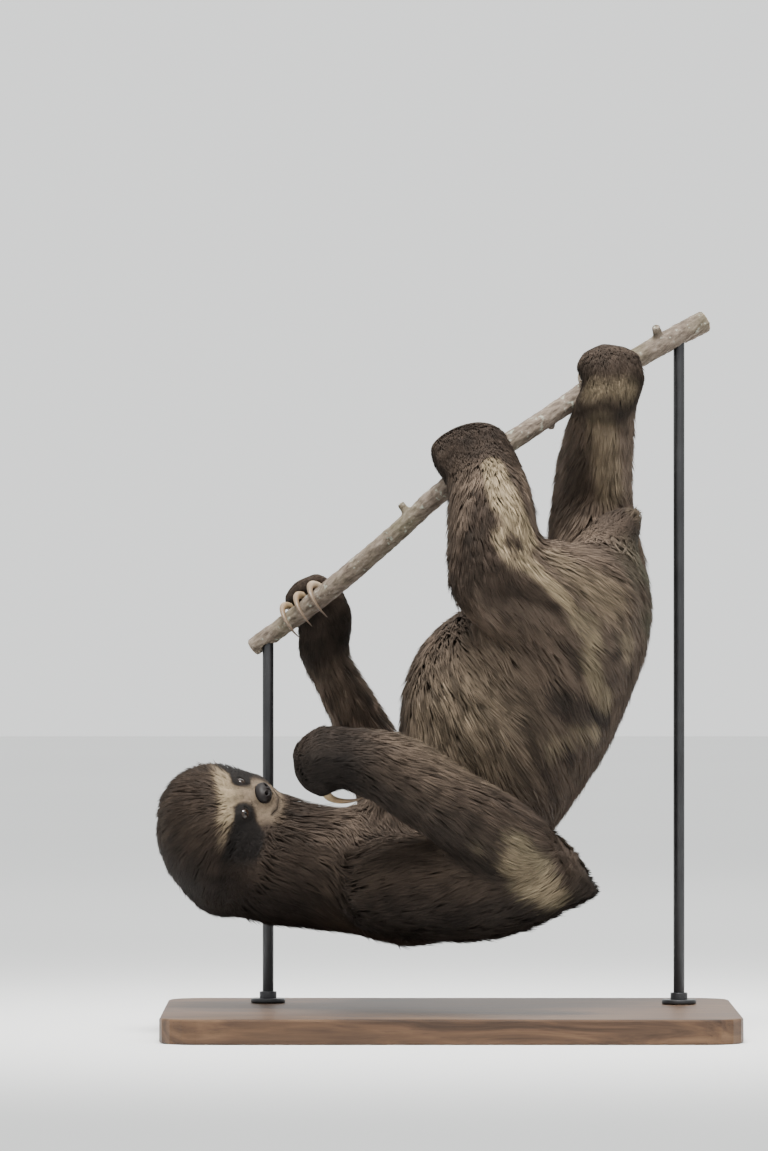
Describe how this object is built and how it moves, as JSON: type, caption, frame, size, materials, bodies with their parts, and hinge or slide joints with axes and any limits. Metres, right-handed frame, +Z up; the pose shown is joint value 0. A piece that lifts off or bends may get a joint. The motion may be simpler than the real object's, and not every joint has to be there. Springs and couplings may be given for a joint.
{
  "type": "three-toed sloth display model",
  "caption": "Life-size still model of a three-toed sloth hanging by its hooked claws from a cut branch, which rods hold above a flat display base.",
  "frame": {"origin": "centre of the display base's underside", "axes": "+Z up; the animal's head lies towards -X and its rump towards +X; its right side faces -Y; its back turns down and towards +X"},
  "size_m": [0.4659, 0.3416, 0.5836],
  "materials": {
    "coat": "long coarse grey-brown fur with pale patches, a dark crown and a whitish brow band",
    "eye": "wet dark brown",
    "nose": "smooth dark skin",
    "claw": "satin horn, darker at the root",
    "bark": "rough grey-brown bark, pale cut ends",
    "base_wood": "dark stained, satin",
    "rod_metal": "satin black"
  },
  "bodies": {
    "root": {"head": "coat", "neck": "coat", "trunk": "coat", "tail": "coat", "upper_arm_right": "coat", "forearm_right": "coat", "hand_right": "coat", "upper_arm_left": "coat", "forearm_left": "coat", "hand_left": "coat", "thigh_right": "coat", "shank_right": "coat", "foot_right": "coat", "thigh_left": "coat", "shank_left": "coat", "foot_left": "coat", "eye_left": "eye", "eye_right": "eye", "nose": "nose", "claw_right_hand_1": "claw", "claw_right_hand_2": "claw", "claw_right_hand_3": "claw", "claw_left_hand_1": "claw", "claw_left_hand_2": "claw", "claw_left_hand_3": "claw", "claw_right_foot_1": "claw", "claw_right_foot_2": "claw", "claw_right_foot_3": "claw", "claw_left_foot_1": "claw", "claw_left_foot_2": "claw", "claw_left_foot_3": "claw", "perch_branch": "bark", "stand_base": "base_wood", "stand_rod_left": "rod_metal", "stand_rod_right": "rod_metal"}
  },
  "joints": []
}
